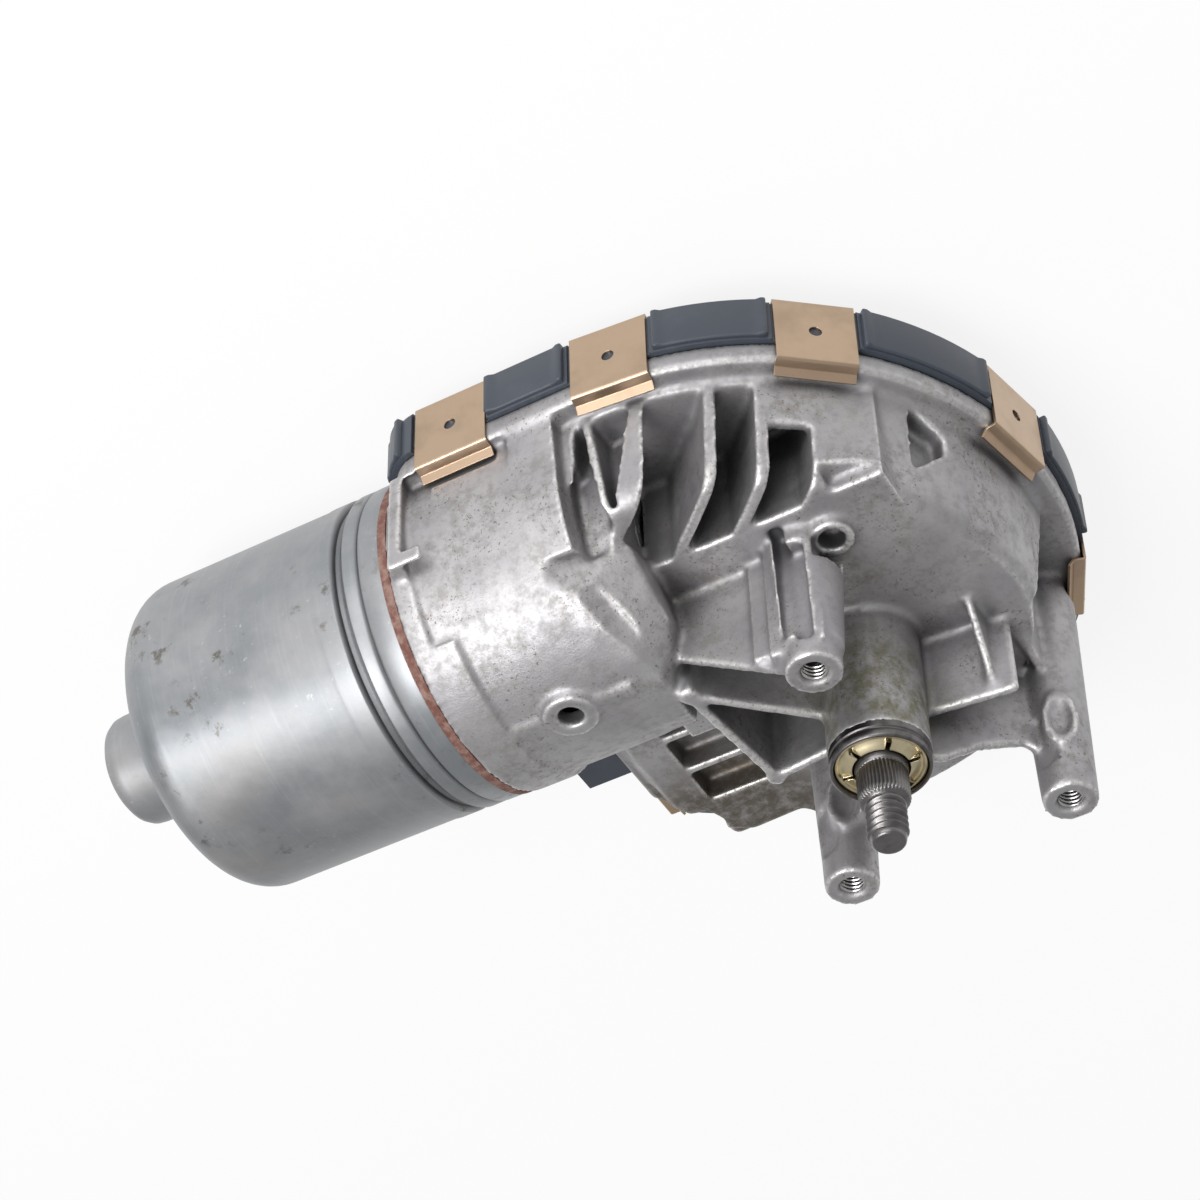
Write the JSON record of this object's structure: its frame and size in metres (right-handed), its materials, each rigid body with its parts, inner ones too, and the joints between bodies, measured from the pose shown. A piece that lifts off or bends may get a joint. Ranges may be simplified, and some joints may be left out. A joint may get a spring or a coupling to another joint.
{
  "type": "wiper motor",
  "caption": "Windscreen wiper motor: can motor, worm gear in a die-cast housing, clipped electronics cover and threaded output shaft.",
  "frame": {"origin": "on the output shaft's axis, where its end thread begins", "axes": "+Z out of the output shaft's threaded end; the motor's axis is parallel to X with the can towards -X; +Y from the output shaft to the motor's axis"},
  "size_m": [0.2162, 0.1506, 0.111],
  "materials": {
    "cast_aluminium": "as-cast, blasted, slightly soiled",
    "cover_plastic": "moulded, satin",
    "seal_rubber": "matte",
    "clip_bronze": "rolled spring strip",
    "pin_brass": "satin",
    "board_laminate": "solder resist",
    "black_plastic": "moulded",
    "zinc_steel": "zinc plated, satin",
    "rusty_ring": "rusted",
    "ferrite": "ground",
    "sintered_bronze": "sintered",
    "bright_steel": "ground",
    "carbon": "pressed",
    "core_steel": "stamped stack",
    "copper": "enamelled wire",
    "shaft_steel": "dark, ground",
    "gear_plastic": "natural",
    "gold_zinc": "yellow passivated"
  },
  "bodies": {
    "housing": {"gear_housing": "cast_aluminium", "electronics_cover": "cover_plastic", "cover_seal": "seal_rubber", "cover_clips": "clip_bronze", "connector_pins": "pin_brass", "circuit_board": "board_laminate", "hall_sensor": "black_plastic", "pole_housing": "zinc_steel", "flange_gasket": "rusty_ring", "field_magnets": "ferrite", "rear_bearing": "sintered_bronze", "bearing_retainer": "bright_steel", "front_bearing": "bright_steel", "tip_bearing": "sintered_bronze", "brush_plate": "black_plastic", "carbon_brushes": "carbon", "brush_springs": "bright_steel", "choke_coils": "ferrite", "output_bushes": "sintered_bronze", "shaft_seal": "seal_rubber", "seal_cap": "seal_rubber"},
    "armature": {"armature_shaft": "bright_steel", "lamination_core": "core_steel", "copper_windings": "copper", "commutator": "copper"},
    "output": {"output_shaft": "shaft_steel", "wheel_hub": "pin_brass", "worm_wheel": "gear_plastic", "sensor_magnet": "ferrite", "shim_washer": "bright_steel", "lock_washer": "gold_zinc"}
  },
  "joints": [
    {"name": "armature_spin", "type": "hinge", "parent": "housing", "child": "armature", "pos_m": [0, 0.033, -0.0547], "axis": [1, 0, 0], "continuous": true},
    {"name": "output_spin", "type": "hinge", "parent": "housing", "child": "output", "pos_m": [0, 0, 0], "axis": [0, 0, 1], "continuous": true}
  ],
  "couplings": [
    {"joint": "output_spin", "follows": "armature_spin", "ratio": 0.017241}
  ]
}
